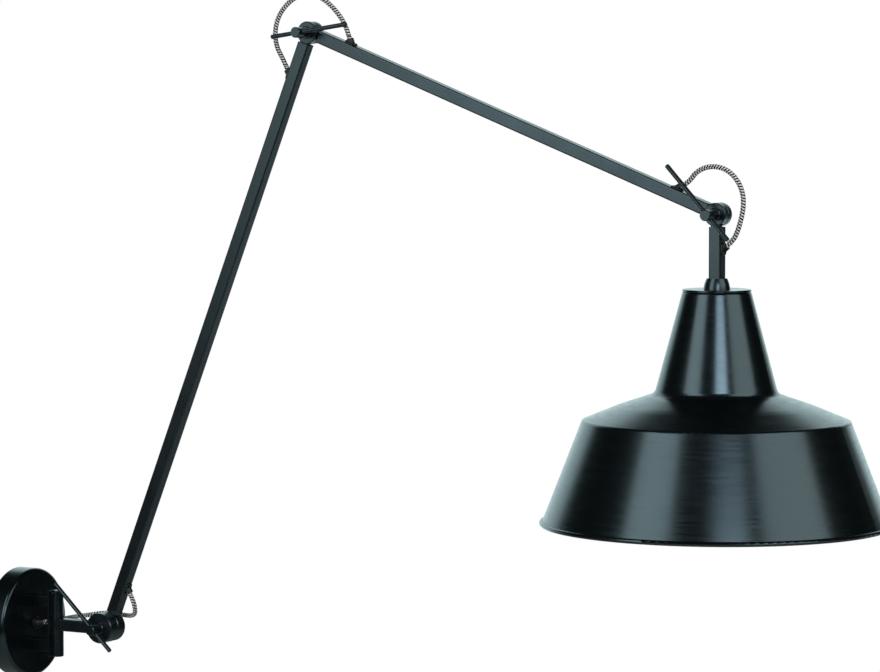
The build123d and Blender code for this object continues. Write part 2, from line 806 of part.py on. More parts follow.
def holder_dome():
    """Upper shell of the lampholder, screwed on the nipple."""
    outline = [
        (nipple_radius + thread_clearance, holder_top_z),
        (holder_dome_top_radius, holder_top_z),
        (holder_radius, holder_top_z - holder_dome_height * 0.45),
        (holder_radius, dome_bottom_z),
        (holder_radius - holder_wall, dome_bottom_z),
        (holder_radius - holder_wall, holder_top_z - holder_dome_height * 0.45 - 1),
        (holder_dome_top_radius - 1, holder_top_z - 6),
        (nipple_radius + thread_clearance, holder_top_z - 6),
    ]
    return turned(outline)


def holder_body():
    """Lower shell of the lampholder with its flared skirt."""
    skirt_z = holder_bottom_z + holder_skirt_height
    outline = [
        (holder_radius, dome_bottom_z),
        (holder_radius, skirt_z + 3),
        (holder_skirt_radius, skirt_z),
        (holder_skirt_radius, holder_bottom_z),
        (holder_radius - holder_wall, holder_bottom_z),
        (holder_radius - holder_wall, dome_bottom_z),
    ]
    return turned(outline)


def holder_insert():
    """Ceramic insert that carries the lamp's contacts."""
    radius = holder_radius - holder_wall - slide_clearance
    x, y = shade_axis.X, shade_axis.Y
    insert = rod_z(radius, insert_bottom_z, dome_bottom_z, x, y)
    insert = chamfer(rims(insert, Axis.Z), 1.0)
    insert -= rod_z(
        contact_pocket_radius, insert_bottom_z, insert_bottom_z + contact_pocket_depth, x, y
    )
    for side in (-1, 1):
        insert -= rod_z(2.0, insert_bottom_z, dome_bottom_z, x + side * 11.0, y)
    return insert


def socket_shell():
    """Brass screw shell of the lampholder, hung from the insert by a narrow flange."""
    x, y = shade_axis.X, shade_axis.Y
    low = insert_bottom_z - shell_height
    shell = rod_z(shell_inner_radius + shell_wall, low, insert_bottom_z, x, y)
    shell += rod_z(shell_flange_radius, insert_bottom_z - shell_wall, insert_bottom_z, x, y)
    return shell - rod_z(shell_inner_radius, low, insert_bottom_z, x, y)


def centre_contact():
    """Brass centre contact, deep in the insert's pocket."""
    x, y = shade_axis.X, shade_axis.Y
    seat = insert_bottom_z + contact_pocket_depth
    tab = rod_z(contact_radius, seat - contact_thickness, seat, x, y)
    return chamfer(tab.edges().group_by(Axis.Z)[0], 0.4)


# ---------------------------------------------------------------- cable routes
split = Vector(76.0, 19.0, 8.5)
split_run = Vector(14.5, -0.4, 2.6)


def swivel_route():
    """From the wall gland round the swivel to above the short arm."""
    return [
        gland_mouth(),
        gland_mouth(extra=8.0),
        (49.5, 19.2, 2.6),
        split - split_run,
        split,
    ]


def shoulder_route():
    """From above the short arm, behind the drums, up to the lower arm's first grommet."""
    args = (shoulder, lower_arm_angle, lower_grommet_x, arm_y, -1, -1)
    return [
        split,
        split + split_run,
        (102.8, 25.0, 13.2),
        (116.2, 30.2, 12.8),
        (129.8, 31.4, 11.6),
        (141.4, 28.4, 12.0),
        (149.6, 23.2, 15.8),
        (153.2, 17.8, 22.8),
        mouth(*args, extra=8.0),
        mouth(*args),
    ]


def elbow_route():
    """Loop over the elbow, from the lower arm to the upper arm."""
    first = (shoulder, lower_arm_angle, lower_grommet_far_x, arm_y, 1, 1)
    last = (elbow, upper_arm_angle, upper_grommet_x, upper_arm_y, 1, -1)
    return [
        mouth(*first),
        mouth(*first, extra=12.0),
        (349.2, 15.3, 672.5),
        (347.0, 15.6, 688.0),
        (350.2, 16.0, 703.5),
        (359.2, 16.5, 717.0),
        (373.0, 17.0, 727.5),
        (389.5, 17.5, 731.4),
        (405.8, 18.0, 727.0),
        (419.6, 18.5, 717.2),
        (431.0, 19.0, 704.6),
        mouth(*last, extra=10.0),
        mouth(*last),
    ]


def head_route():
    """Loop over the shade joint, from the upper arm to the stem."""
    first = (elbow, upper_arm_angle, upper_grommet_far_x, upper_arm_y, 1, 1)
    last = (head_joint, stem_angle, grommet_on_stem, arm_y, 1, -1)
    return [
        mouth(*first),
        mouth(*first, extra=7.0),
        (867.0, 19.5, 537.2),
        (878.6, 19.8, 543.0),
        (892.6, 19.6, 543.8),
        (906.2, 19.0, 538.8),
        (917.0, 18.2, 528.4),
        (923.2, 17.4, 514.6),
        (923.8, 16.6, 500.0),
        (920.9, 16.0, 486.2),
        (917.6, 15.6, 475.4),
        mouth(*last, extra=7.0),
        mouth(*last),
    ]


def wall_inner_cable():
    """Cable held in the gland, down to the terminal block."""
    end = Vector(strap_thickness + terminal_depth - 3.0, 0, 0)
    points = [gland_mouth(), gland_bend(), end]
    return cable_tube("cable_in_wall_cup", points, bend=gland_cable_bend)


def arm_inner_cable(name, joint, angle, y, first, last):
    """Cable held inside a tube between its two grommets: (x, side, toward) for each."""
    points = [
        mouth(joint, angle, first[0], y, first[1], first[2]),
        inner_corner(joint, angle, first[0], y, first[2]),
        inner_corner(joint, angle, last[0], y, last[2]),
        mouth(joint, angle, last[0], y, last[1], last[2]),
    ]
    return cable_tube(name, points, bend=cable_inner_bend)


def stem_inner_cable():
    """Cable from the stem's grommet down to the lampholder's insert."""
    place = (head_joint, stem_angle, grommet_on_stem, arm_y)
    points = [
        mouth(*place, 1, -1),
        inner_corner(*place, -1),
        Vector(shade_axis.X, shade_axis.Y, dome_bottom_z),
    ]
    return cable_tube("cable_in_stem", points, bend=cable_inner_bend)


# ---------------------------------------------------------------- all the pieces
def lower(part):
    return at_joint(shoulder, lower_arm_angle, part)


def lower_far(part):
    return at_joint(elbow, lower_arm_angle + 180, part)


def upper(part):
    return at_joint(elbow, upper_arm_angle, part)


def upper_far(part):
    return at_joint(head_joint, upper_arm_angle + 180, part)


def stem(part):
    return at_joint(head_joint, stem_angle, part)


def clamp_screw(joint, angle, face_y, reach, stud_end_y):
    return at_joint(joint, angle, tee_screw(face_y, reach, stud_end_y))


drum_front_y = -drum_thickness / 2
drum_back_y = drum_thickness * 1.5 + friction_washer

pieces = {
    "wall_cup": wall_cup(),
    "mounting_strap": mounting_strap(),
    "cup_side_screws": side_screws(),
    "backing_plate": backing_plate(),
    "bracket_screws": bracket_screws(),
    "terminal_block": terminal_block(),
    "terminal_screws": terminal_screws(),
    "wall_gland": wall_gland(),
    "gland_nut": gland_nut(),
    "wall_bracket": wall_bracket(),
    "swivel_pin": swivel_pin(),
    "swivel_washers": swivel_washers(),
    "swivel_arm": swivel_arm(),
    "swivel_set_screw": swivel_set_screw(),
    "shoulder_friction_washer": at_joint(
        shoulder, 0, friction_ring(drum_radius, drum_thickness / 2)
    ),
    "shoulder_clamp_screw": clamp_screw(
        shoulder, shoulder_tee_angle, drum_front_y, shoulder_hub_reach, drum_back_y
    ),
    "shoulder_tee_bar": at_joint(
        shoulder,
        shoulder_tee_angle,
        tee_bar(drum_front_y, shoulder_hub_reach, shoulder_tee_slide),
    ),
    "lower_arm_foot": lower(lower_arm_foot()),
    "shoulder_nut": lower(clamp_nut(drum_back_y)),
    "lower_arm_tube": lower(lower_arm_tube()),
    "lower_arm_grommet": lower(on_face(lower_grommet_x, arm_y, -1, -1, grommet())),
    "lower_arm_elbow_grommet": lower(on_face(lower_grommet_far_x, arm_y, 1, 1, grommet())),
    "lower_arm_elbow_plate": lower_far(front_plate()),
    "elbow_friction_washer": at_joint(elbow, 0, friction_ring(disc_radius, disc_split_y)),
    "elbow_clamp_screw": clamp_screw(elbow, elbow_tee_angle, front_face_y, hub_reach, rear_face_y),
    "elbow_tee_bar": at_joint(
        elbow, elbow_tee_angle, tee_bar(front_face_y, hub_reach, elbow_tee_slide)
    ),
    "upper_arm_elbow_plate": upper(rear_plate()),
    "elbow_nut": upper(clamp_nut(rear_face_y)),
    "upper_arm_tube": upper(upper_arm_tube()),
    "upper_arm_elbow_grommet": upper(on_face(upper_grommet_x, upper_arm_y, 1, -1, grommet())),
    "upper_arm_head_grommet": upper(on_face(upper_grommet_far_x, upper_arm_y, 1, 1, grommet())),
    "upper_arm_head_plate": upper_far(rear_plate()),
    "head_nut": upper_far(clamp_nut(rear_face_y)),
    "head_friction_washer": at_joint(head_joint, 0, friction_ring(disc_radius, disc_split_y)),
    "head_clamp_screw": clamp_screw(
        head_joint, head_tee_angle, front_face_y, hub_reach, rear_face_y
    ),
    "head_tee_bar": at_joint(
        head_joint, head_tee_angle, tee_bar(front_face_y, hub_reach, head_tee_slide)
    ),
    "stem_plate": stem(front_plate()),
    "stem_tube": stem(stem_tube()),
    "stem_grommet": stem(on_face(grommet_on_stem, arm_y, 1, -1, grommet())),
    "stem_foot": stem_foot(),
    "shade_cap": shade_cap(),
    "shade": shade(),
    "nipple": nipple(),
    "nipple_nut": nipple_nut(),
    "lampholder_dome": holder_dome(),
    "lampholder_body": holder_body(),
    "lampholder_insert": holder_insert(),
    "socket_shell": socket_shell(),
    "centre_contact": centre_contact(),
    "cable_in_wall_cup": wall_inner_cable(),
    "cable_swivel_run": cable_tube("cable_swivel_run", swivel_route()),
    "cable_shoulder_loop": cable_tube("cable_shoulder_loop", shoulder_route()),
    "cable_in_lower_arm": arm_inner_cable(
        "cable_in_lower_arm",
        shoulder,
        lower_arm_angle,
        arm_y,
        (lower_grommet_x, -1, -1),
        (lower_grommet_far_x, 1, 1),
    ),
    "cable_elbow_loop": cable_tube("cable_elbow_loop", elbow_route()),
    "cable_in_upper_arm": arm_inner_cable(
        "cable_in_upper_arm",
        elbow,
        upper_arm_angle,
        upper_arm_y,
        (upper_grommet_x, 1, -1),
        (upper_grommet_far_x, 1, 1),
    ),
    "cable_head_loop": cable_tube("cable_head_loop", head_route()),
    "cable_in_stem": stem_inner_cable(),
}

os.makedirs("parts", exist_ok=True)
for name, piece in pieces.items():
    piece.label = name
    export_step(piece, f"parts/{name}.step")
print(len(pieces), "pieces written")
print("shoulder", shoulder, "elbow", elbow, "head joint", head_joint)
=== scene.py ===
# %% [markdown]
# # An articulating wall lamp in black
# The lamp is a wall cup with a hinge, two square-tube arms that are clamped by tee-bar screws,
# and a spun steel shade. The metal pieces arrive from the CAD model in metres, already in place,
# so this lesson is about their finishes, the woven cables, a few corrected pieces, the light and
# the camera.

# %% Load the frame
from math import atan, cos, pi, radians, sin

import bmesh
import bpy
from mathutils import Matrix, Vector


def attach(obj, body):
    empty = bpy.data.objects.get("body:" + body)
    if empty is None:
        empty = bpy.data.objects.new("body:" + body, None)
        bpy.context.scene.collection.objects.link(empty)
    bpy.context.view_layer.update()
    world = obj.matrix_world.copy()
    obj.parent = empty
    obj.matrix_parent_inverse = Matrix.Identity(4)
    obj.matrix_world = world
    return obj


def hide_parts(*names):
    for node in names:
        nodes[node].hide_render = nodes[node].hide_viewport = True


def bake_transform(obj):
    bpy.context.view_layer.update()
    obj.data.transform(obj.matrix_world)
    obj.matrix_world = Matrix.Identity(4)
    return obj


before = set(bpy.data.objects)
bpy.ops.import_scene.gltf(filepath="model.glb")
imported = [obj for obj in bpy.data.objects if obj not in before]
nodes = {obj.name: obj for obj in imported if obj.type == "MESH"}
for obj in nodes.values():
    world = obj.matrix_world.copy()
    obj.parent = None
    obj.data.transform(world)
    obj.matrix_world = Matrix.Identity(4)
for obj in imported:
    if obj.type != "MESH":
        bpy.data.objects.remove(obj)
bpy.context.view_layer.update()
print("pieces in the frame:", len(nodes))

# %% [markdown]
# ## The camera
# A photograph taken with a long lens from about four metres shows the arms nearly without
# perspective. The camera could be placed by eye. It is placed by numbers instead, because the
# round wall cup and the square tubes give the angle: 29 degrees to the side, 3.9 degrees down.

# %% Camera
photo_width = 880
focal_pixels = 3760.0
horizon_pixels = 256.0
sensor_width = 36.0
camera_place = (2.5636, -3.6006, 0.6348)
turn = radians(29.0)
dip = atan(horizon_pixels / focal_pixels)

camera_data = bpy.data.cameras.new("camera")
camera_data.sensor_width = sensor_width
camera_data.lens = focal_pixels / photo_width * sensor_width
camera_data.clip_end = 50.0
camera = bpy.data.objects.new("camera", camera_data)
camera.location = camera_place
camera.rotation_euler = (pi / 2 - dip, 0.0, turn)
bpy.context.scene.collection.objects.link(camera)
bpy.context.scene.camera = camera
bpy.context.scene.view_settings.view_transform = "Standard"
print("lens in mm:", round(camera_data.lens, 1))

# %% [markdown]
# ## Helpers for materials
# Colours are picked as hex codes, which are sRGB, while the shader wants linear numbers. One
# function converts them. Another adds a node with its settings and its links in a single call, so
# that each material below reads like a recipe.

# %% Colour and node helpers
def linear(code):
    """An sRGB hex code as a linear colour with alpha."""
    parts = [int(code[i:i + 2], 16) / 255 for i in (1, 3, 5)]
    shares = [c / 12.92 if c <= 0.04045 else ((c + 0.055) / 1.055) ** 2.4 for c in parts]
    return (*shares, 1.0)


def add_node(tree, kind, inputs=None, **settings):
    """Adds one node, sets its properties, and fills or links its inputs by name or number."""
    node = tree.nodes.new(kind)
    for name, value in settings.items():
        setattr(node, name, value)
    for name, value in (inputs or {}).items():
        if isinstance(value, bpy.types.NodeSocket):
            tree.links.new(value, node.inputs[name])
        else:
            node.inputs[name].default_value = value
    return node


def new_material(name):
    """An empty node material, with its tree."""
    material = bpy.data.materials.new(name)
    material.use_nodes = True
    material.node_tree.nodes.clear()
    return material, material.node_tree


# %% [markdown]
# ## Powder coat on the tubes and joints
# The arms, plates and tee bars are steel with a satin black polyester powder coat. Powder melts
# into a film that is smooth with a faint orange peel, about a millimetre from hill to hill. No
# painted face is perfectly even, so a wider noise changes its colour and gloss a little. The gloss
# is broad: it greys whole faces that look towards a lamp and leaves the others black. Its strength
# and its cool tint were matched to the photograph.

# %% Powder coat
cool_gloss = "#cef2ff"
black_gloss_ior = 1.7
noise_middle = {"From Min": 0.3, "From Max": 0.7}


def powder_coat(peel_mm=1.4, cloud_mm=35.0, peel_depth=0.000012):
    """Satin black powder coat over a fine orange peel."""
    material, tree = new_material("satin_black_powder_coat")
    place = add_node(tree, "ShaderNodeTexCoord").outputs["Object"]
    peel, cloud = (
        add_node(tree, "ShaderNodeTexNoise",
                 {"Vector": place, "Scale": 1000 / size_mm, "Detail": 2.0}).outputs["Fac"]
        for size_mm in (peel_mm, cloud_mm))
    colour = add_node(tree, "ShaderNodeMix",
                      {0: cloud, 6: linear("#080a0c"), 7: linear("#0c0f11")},
                      data_type="RGBA").outputs[2]
    roughness = add_node(tree, "ShaderNodeMapRange",
                         {"Value": cloud, **noise_middle,
                          "To Min": 0.26, "To Max": 0.31}).outputs[0]
    skin = add_node(tree, "ShaderNodeBump",
                    {"Height": peel, "Distance": peel_depth, "Strength": 0.05}).outputs[0]
    shader = add_node(tree, "ShaderNodeBsdfPrincipled",
                      {"Base Color": colour, "Roughness": roughness, "IOR": black_gloss_ior,
                       "Specular Tint": linear(cool_gloss), "Normal": skin})
    add_node(tree, "ShaderNodeOutputMaterial", {"Surface": shader.outputs[0]})
    return material


# %% [markdown]
# ## Lacquer on spun steel
# The shade and the wall cup are turned on a lathe from sheet, and the roller leaves fine rings
# that still show through the black lacquer as faint level dashes. A noise that is squeezed along
# the height and stretched round the shade draws them: about 1.6 mm apart and 30 mm long. A
# Mapping node centres and stretches it.

# %% Lacquer over spinning rings
def spun_lacquer(name, centre, axis, rings_mm=1.6, fine_mm=0.9, cloud_mm=60.0):
    """Black lacquer over the rings round an axis, 0 for X or 2 for Z, through a centre."""
    material, tree = new_material(name)
    place = add_node(tree, "ShaderNodeTexCoord").outputs["Object"]
    stretch = [1.0 if i == axis else 0.05 for i in range(3)]
    stretched = add_node(tree, "ShaderNodeMapping",
                         {"Vector": place, "Scale": stretch,
                          "Location": [-c * s for c, s in zip(centre, stretch)]}).outputs[0]
    centred = add_node(tree, "ShaderNodeMapping",
                       {"Vector": place, "Location": [-c for c in centre]}).outputs[0]
    rings, fine, cloud = (
        add_node(tree, "ShaderNodeTexNoise",
                 {"Vector": vector, "Scale": 1000 / size_mm, "Detail": 2.0}).outputs["Fac"]
        for vector, size_mm in ((stretched, rings_mm), (centred, fine_mm), (centred, cloud_mm)))
    colour = add_node(tree, "ShaderNodeMix",
                      {0: cloud, 6: linear("#050708"), 7: linear("#080b0c")},
                      data_type="RGBA").outputs[2]
    roughness = add_node(tree, "ShaderNodeMapRange",
                         {"Value": rings, **noise_middle,
                          "To Min": 0.19, "To Max": 0.26}).outputs[0]
    ringed = add_node(tree, "ShaderNodeBump",
                      {"Height": rings, "Distance": 0.00002, "Strength": 0.36}).outputs[0]
    skin = add_node(tree, "ShaderNodeBump",
                    {"Height": fine, "Distance": 0.00001, "Strength": 0.2,
                     "Normal": ringed}).outputs[0]
    shader = add_node(tree, "ShaderNodeBsdfPrincipled",
                      {"Base Color": colour, "Roughness": roughness, "IOR": black_gloss_ior,
                       "Specular Tint": linear(cool_gloss), "Normal": skin})
    add_node(tree, "ShaderNodeOutputMaterial", {"Surface": shader.outputs[0]})
    return material


# %% [markdown]
# ## Small materials: zinc, brass, plastics, ceramic and fibre
# Hidden and half-hidden pieces still get the surface of the real thing. Zinc plating is a dull
# cool metal with a fine crystal cloud, drawn brass is warm with soft stains, moulded nylon has an
# etched grain, phenolic plastic shines, and the glazed ceramic is creamy white. The friction
# washers are pressed from dark fibre with paler specks.

# %% Metals
def plated_metal(name, low, high, rough_low, rough_high, cloud_mm, fine_mm=0.5):
    """A metal whose colour and gloss wander between two values."""
    material, tree = new_material(name)
    place = add_node(tree, "ShaderNodeTexCoord").outputs["Object"]
    cloud, fine = (
        add_node(tree, "ShaderNodeTexNoise",
                 {"Vector": place, "Scale": 1000 / size_mm, "Detail": detail}).outputs["Fac"]
        for size_mm, detail in ((cloud_mm, 3.0), (fine_mm, 2.0)))
    colour = add_node(tree, "ShaderNodeMix", {0: cloud, 6: linear(low), 7: linear(high)},
                      data_type="RGBA").outputs[2]
    roughness = add_node(tree, "ShaderNodeMapRange",
                         {"Value": cloud, **noise_middle,
                          "To Min": rough_low, "To Max": rough_high}).outputs[0]
    skin = add_node(tree, "ShaderNodeBump",
                    {"Height": fine, "Distance": 0.00001, "Strength": 0.2}).outputs[0]
    shader = add_node(tree, "ShaderNodeBsdfPrincipled",
                      {"Base Color": colour, "Metallic": 1.0, "Roughness": roughness,
                       "Normal": skin})
    add_node(tree, "ShaderNodeOutputMaterial", {"Surface": shader.outputs[0]})
    return material


# %% Moulded and glazed pieces
def moulded(name, low, high, rough_low, rough_high, grain_mm, depth_mm, cloud_mm=12.0):
    """A plastic or glaze with a fine grain of a given size and depth."""
    material, tree = new_material(name)
    place = add_node(tree, "ShaderNodeTexCoord").outputs["Object"]
    etched, cloud = (
        add_node(tree, "ShaderNodeTexNoise",
                 {"Vector": place, "Scale": 1000 / size_mm, "Detail": detail}).outputs["Fac"]
        for size_mm, detail in ((grain_mm, 3.0), (cloud_mm, 2.0)))
    colour = add_node(tree, "ShaderNodeMix", {0: cloud, 6: linear(low), 7: linear(high)},
                      data_type="RGBA").outputs[2]
    roughness = add_node(tree, "ShaderNodeMapRange",
                         {"Value": cloud, **noise_middle,
                          "To Min": rough_low, "To Max": rough_high}).outputs[0]
    skin = add_node(tree, "ShaderNodeBump",
                    {"Height": etched, "Distance": depth_mm / 1000, "Strength": 0.5}).outputs[0]
    shader = add_node(tree, "ShaderNodeBsdfPrincipled",
                      {"Base Color": colour, "Roughness": roughness, "IOR": 1.5, "Normal": skin})
    add_node(tree, "ShaderNodeOutputMaterial", {"Surface": shader.outputs[0]})
    return material


# %% Friction fibre
fibre_roughness = 0.85
fibre_ior = 1.45


def friction_fibre(speck_mm=0.6):
    """Pressed brown-black fibre with paler specks."""
    material, tree = new_material("pressed_friction_fibre")
    place = add_node(tree, "ShaderNodeTexCoord").outputs["Object"]
    specks = add_node(tree, "ShaderNodeTexNoise",
                      {"Vector": place, "Scale": 1000 / speck_mm, "Detail": 2.0}).outputs["Fac"]
    paler = add_node(tree, "ShaderNodeMapRange",
                     {"Value": specks, "From Min": 0.45, "From Max": 0.6,
                      "To Min": 0.0, "To Max": 1.0}).outputs[0]
    colour = add_node(tree, "ShaderNodeMix",
                      {0: paler, 6: linear("#1c1a18"), 7: linear("#3a342e")},
                      data_type="RGBA").outputs[2]
    skin = add_node(tree, "ShaderNodeBump",
                    {"Height": specks, "Distance": 0.00005, "Strength": 0.5}).outputs[0]
    shader = add_node(tree, "ShaderNodeBsdfPrincipled",
                      {"Base Color": colour, "Roughness": fibre_roughness, "IOR": fibre_ior,
                       "Normal": skin})
    add_node(tree, "ShaderNodeOutputMaterial", {"Surface": shader.outputs[0]})
    return material


# %% [markdown]
# ## The woven sleeve of the cable
# A textile cable is a round core in a braid of black and white yarn, which the eye reads as short
# slanting dashes, each row half a repeat behind its neighbour. It could be modelled yarn by yarn,
# but one yarn is 0.7 mm, less than a pixel wide. So the weave is drawn, and drawn coarser than the
# real one so that it shows: four rows round the cable, with a repeat of 3.1 mm. It lies on the
# sleeve's own UV map, where U goes once round the cable and V counts millimetres along it.

# %% Staggered weave on a UV map
cable_diameter = 0.0054
weave_repeat_mm = 3.1
weave_rows = 4.0
weave_lean = 0.3


def woven_sleeve():
    """Black yarn with rows of slanting white dashes."""
    material, tree = new_material("woven_black_white_sleeve")
    uv = add_node(tree, "ShaderNodeUVMap", uv_map="weave")
    parts = add_node(tree, "ShaderNodeSeparateXYZ", {0: uv.outputs[0]})
    around = add_node(tree, "ShaderNodeMath", {0: parts.outputs[0], 1: weave_rows},
                      operation="MULTIPLY").outputs[0]
    row = add_node(tree, "ShaderNodeMath", {0: around}, operation="FLOOR").outputs[0]
    across = add_node(tree, "ShaderNodeMath", {0: around}, operation="FRACT").outputs[0]
    lean = add_node(tree, "ShaderNodeMath", {0: across, 1: weave_lean},
                    operation="MULTIPLY").outputs[0]
    along_repeat = add_node(tree, "ShaderNodeMath", {0: parts.outputs[1], 1: weave_repeat_mm},
                            operation="DIVIDE").outputs[0]
    stepped = add_node(tree, "ShaderNodeMath", {0: row, 1: 0.5, 2: along_repeat},
                       operation="MULTIPLY_ADD").outputs[0]
    slanted = add_node(tree, "ShaderNodeMath", {0: stepped, 1: lean}).outputs[0]
    wave, ridge = (add_node(tree, "ShaderNodeMath", {0: value, 1: 0.5},
                            operation="PINGPONG").outputs[0] for value in (slanted, around))
    dash = add_node(tree, "ShaderNodeMapRange",
                    {"Value": wave, "From Min": 0.25, "From Max": 0.28,
                     "To Min": 0.0, "To Max": 1.0}, interpolation_type="SMOOTHSTEP").outputs[0]
    inside = add_node(tree, "ShaderNodeMapRange",
                      {"Value": ridge, "From Min": 0.03, "From Max": 0.10,
                       "To Min": 0.0, "To Max": 1.0}).outputs[0]
    white = add_node(tree, "ShaderNodeMath", {0: dash, 1: inside}, operation="MULTIPLY").outputs[0]
    colour = add_node(tree, "ShaderNodeMix",
                      {0: white, 6: linear("#070708"), 7: linear("#f1f3f3")},
                      data_type="RGBA").outputs[2]
    yarn = add_node(tree, "ShaderNodeMath", {0: wave, 1: 2.0, 2: ridge},
                    operation="MULTIPLY_ADD").outputs[0]
    skin = add_node(tree, "ShaderNodeBump",
                    {"Height": yarn, "Distance": 0.00025, "Strength": 0.6}).outputs[0]
    shader = add_node(tree, "ShaderNodeBsdfPrincipled",
                      {"Base Color": colour, "Roughness": fibre_roughness, "IOR": fibre_ior,
                       "Sheen Weight": 0.15, "Normal": skin})
    add_node(tree, "ShaderNodeOutputMaterial", {"Surface": shader.outputs[0]})
    return material


# %% [markdown]
# ## The free cables
# Each loop of cable is a curve, because a cable is one smooth bend after another. The route's
# control points are the same as in the CAD model. A NURBS spline through their neighbourhood gives
# the line, and a ring of edges is carried along it to make the sleeve, turn by turn, with the
# weave's UV map laid on at the same time.

# %% A smooth line from a route
def smooth_line(name, route):
    """The points of a NURBS line that a route of control points draws."""
    data = bpy.data.curves.new(name + "_line", "CURVE")
    data.dimensions = "3D"
    data.resolution_u = 10
    spline = data.splines.new("NURBS")
    spline.points.add(len(route) - 1)
    for point, place in zip(spline.points, route):
        point.co = (*place, 1.0)
    spline.order_u = 3
    spline.use_endpoint_u = True
    line = bpy.data.objects.new(name + "_line", data)
    bpy.context.scene.collection.objects.link(line)
    bpy.context.view_layer.update()
    evaluated = line.evaluated_get(bpy.context.evaluated_depsgraph_get())
    mesh = bpy.data.meshes.new_from_object(evaluated)
    points = [v.co.copy() for v in mesh.vertices]
    bpy.data.meshes.remove(mesh)
    bpy.data.objects.remove(line)
    return points


# %% A sleeve along a line
def edges_of(mesh, ring):
    """The edges of a mesh that run round a ring of points."""
    return [e for e in mesh.edges if all(v in ring for v in e.verts)]


def sleeve(name, points, diameter, sides=20):
    """A closed round tube along points, with the weave's UV map."""
    mesh = bmesh.new()
    layer = mesh.loops.layers.uv.new("weave")
    direction = (points[1] - points[0]).normalized()
    facing_along = direction.to_track_quat("Z", "X").to_matrix().to_4x4()
    ring = bmesh.ops.create_circle(mesh, cap_ends=True, radius=diameter / 2, segments=sides,
                                   matrix=Matrix.Translation(points[0]) @ facing_along)["verts"]
    travelled = [0.0]
    rings = [ring]
    for before, here, after in zip(points, points[1:], points[2:] + [None]):
        grown = bmesh.ops.extrude_edge_only(mesh, edges=edges_of(mesh, ring))["geom"]
        fresh = {v for v in grown if isinstance(v, bmesh.types.BMVert)}
        ring = [next(e.other_vert(vert) for e in vert.link_edges if e.other_vert(vert) in fresh)
                for vert in ring]
        ahead = (here - before) if after is None else (after - before)
        swing = direction.rotation_difference(ahead.normalized()).to_matrix().to_4x4()
        bmesh.ops.transform(mesh, verts=ring, matrix=Matrix.Translation(here) @ swing
                            @ Matrix.Translation(-before))
        direction = ahead.normalized()
        travelled.append(travelled[-1] + (here - before).length)
        rings.append(ring)
    bmesh.ops.contextual_create(mesh, geom=edges_of(mesh, ring))
    place = {v: (i, j) for i, ring in enumerate(rings) for j, v in enumerate(ring)}
    for face in mesh.faces:
        columns = [place[loop.vert][1] for loop in face.loops]
        wraps = max(columns) - min(columns) > sides / 2
        for loop in face.loops:
            row, column = place[loop.vert]
            if wraps and column == 0:
                column = sides
            loop[layer].uv = (column / sides, travelled[row] * 1000)
    bmesh.ops.recalc_face_normals(mesh, faces=mesh.faces)
    data = bpy.data.meshes.new(name)
    mesh.to_mesh(data)
    mesh.free()
    data.polygons.foreach_set("use_smooth", [True] * len(data.polygons))
    piece = bpy.data.objects.new(name, data)
    bpy.context.scene.collection.objects.link(piece)
    return piece, travelled[-1]


# %% [markdown]
# ## The four routes
# The cable leaves the wall cup, passes behind the hinge, dips behind the shoulder drums and climbs
# into the lower arm. It comes out again to loop over the elbow and over the shade joint, so that
# the arms can move without pulling it. Every mouth below is the end of a grommet.

# %% Route points in metres
swivel_run = [
    (0.034778, 0.007778, 0.0), (0.040435, 0.013435, 0.0), (0.0495, 0.0192, 0.0026),
    (0.0615, 0.0194, 0.0059), (0.076, 0.019, 0.0085),
]
shoulder_loop = [
    (0.076, 0.019, 0.0085), (0.0905, 0.0186, 0.0111), (0.1028, 0.025, 0.0132),
    (0.1162, 0.0302, 0.0128), (0.1298, 0.0314, 0.0116), (0.1414, 0.0284, 0.012),
    (0.1496, 0.0232, 0.0158), (0.1532, 0.0178, 0.0228),
]
elbow_loop = [
    (0.3492, 0.0153, 0.6725), (0.347, 0.0156, 0.688), (0.3502, 0.016, 0.7035),
    (0.3592, 0.0165, 0.717), (0.373, 0.017, 0.7275), (0.3895, 0.0175, 0.7314),
    (0.4058, 0.018, 0.727), (0.4196, 0.0185, 0.7172), (0.431, 0.019, 0.7046),
]
head_loop = [
    (0.867, 0.0195, 0.5372), (0.8786, 0.0198, 0.543), (0.8926, 0.0196, 0.5438),
    (0.9062, 0.019, 0.5388), (0.917, 0.0182, 0.5284), (0.9232, 0.0174, 0.5146),
    (0.9238, 0.0166, 0.5), (0.9209, 0.016, 0.4862), (0.9176, 0.0156, 0.4754),
]

# %% Joints, worked out like the arms themselves
shoulder = Vector((0.119, 0.0, 0.0))
lower_angle, upper_angle, stem_angle = 68.3, -21.2, -90.0
lower_length, upper_length = 0.740, 0.538
arm_y, upper_arm_y = 0.0153, 0.0193


def along(start, angle, x, y, z):
    """A point of an arm's own frame, with x along the arm, in the lamp's frame."""
    return start + Matrix.Rotation(radians(-angle), 3, "Y") @ Vector((x, y, z))


elbow = along(shoulder, lower_angle, lower_length, 0, 0)
head_joint = along(elbow, upper_angle, upper_length, 0, 0)
print("elbow at", [round(c, 4) for c in elbow], "shade joint at", [round(c, 4) for c in head_joint])

# %% Grommet mouths
snout_reach = 0.009
snout_lean = radians(40)
half_tube = 0.007


def mouth(joint, angle, x, y, side, toward, extra=0.0):
    """The end of a grommet's snout, or a point beyond it, on a line that leans off the tube."""
    reach = snout_reach + extra
    out = half_tube + reach * cos(snout_lean)
    return along(joint, angle, x + toward * reach * sin(snout_lean), y, side * out)


